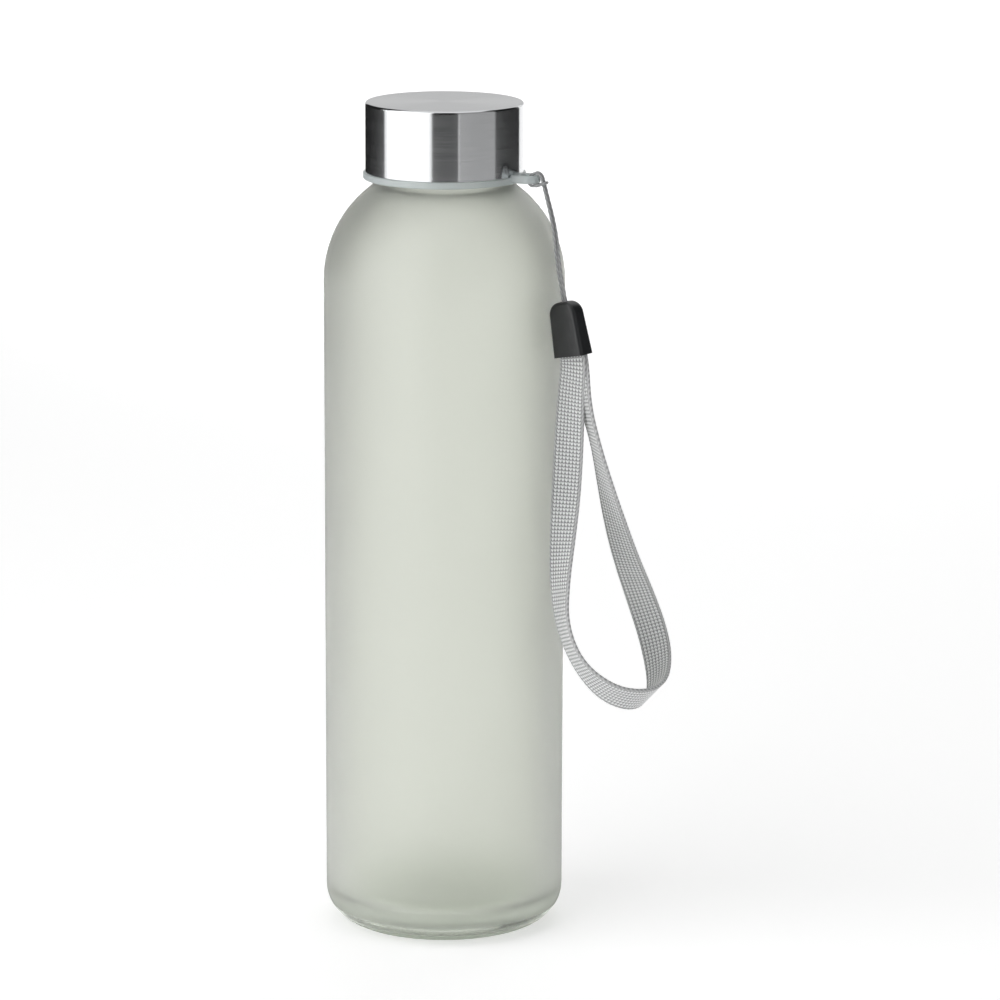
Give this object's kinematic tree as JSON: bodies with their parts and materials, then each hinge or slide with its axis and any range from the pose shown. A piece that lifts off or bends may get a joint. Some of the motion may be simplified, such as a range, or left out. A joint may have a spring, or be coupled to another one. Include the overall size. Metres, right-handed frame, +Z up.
{
  "type": "glass water bottle",
  "caption": "Tall frosted glass water bottle with a steel screw cap and a woven wrist strap on an eyelet of the cap.",
  "frame": {"origin": "centre of the base, on the surface the bottle stands on", "axes": "+Z up along the bottle; the cap's eyelet and strap are towards +X and a little towards -Y when the cap is tight"},
  "size_m": [0.0944, 0.0684, 0.2265],
  "materials": {
    "frosted_glass": "frosted outside, matte, slightly green",
    "brushed_steel": "fine brushing round the side, spin-brushed top",
    "clear_plastic": "natural polypropylene, translucent",
    "silicone": "matte, soft",
    "grey_cord": "twisted polyester",
    "black_plastic": "satin",
    "grey_webbing": "polyester webbing in small V-shaped stitches, with corded edges"
  },
  "bodies": {
    "glass": {"glass_bottle": "frosted_glass"},
    "gasket": {"cap_gasket": "silicone"},
    "cap": {"cap_shell": "brushed_steel", "cap_insert": "clear_plastic", "cord_hitch": "grey_cord"},
    "lanyard": {"cord_strands": "grey_cord"},
    "strap": {"strap_sleeve": "black_plastic", "cord_end_knot": "grey_cord", "strap_webbing": "grey_webbing"}
  },
  "joints": [
    {"name": "cap_rise", "type": "slide", "parent": "glass", "child": "gasket", "axis": [0, 0, 1], "range_m": [0, 0.0254]},
    {"name": "cap_turn", "type": "hinge", "parent": "gasket", "child": "cap", "pos_m": [0, 0, 0.2222], "axis": [0, 0, 1], "range_deg": [0, 2160]},
    {"name": "lanyard_swing", "type": "hinge", "parent": "cap", "child": "lanyard", "pos_m": [0.02673, -0.01362, 0.2049], "axis": [-0.454, -0.891, 0], "range_deg": [0, 95]},
    {"name": "strap_swing", "type": "hinge", "parent": "lanyard", "child": "strap", "pos_m": [0.03195, -0.01797, 0.17536], "axis": [-0.454, -0.891, 0], "range_deg": [0, 50]}
  ],
  "couplings": [
    {"joint": "cap_rise", "follows": "cap_turn", "m_per_rad": 0.00067322}
  ]
}
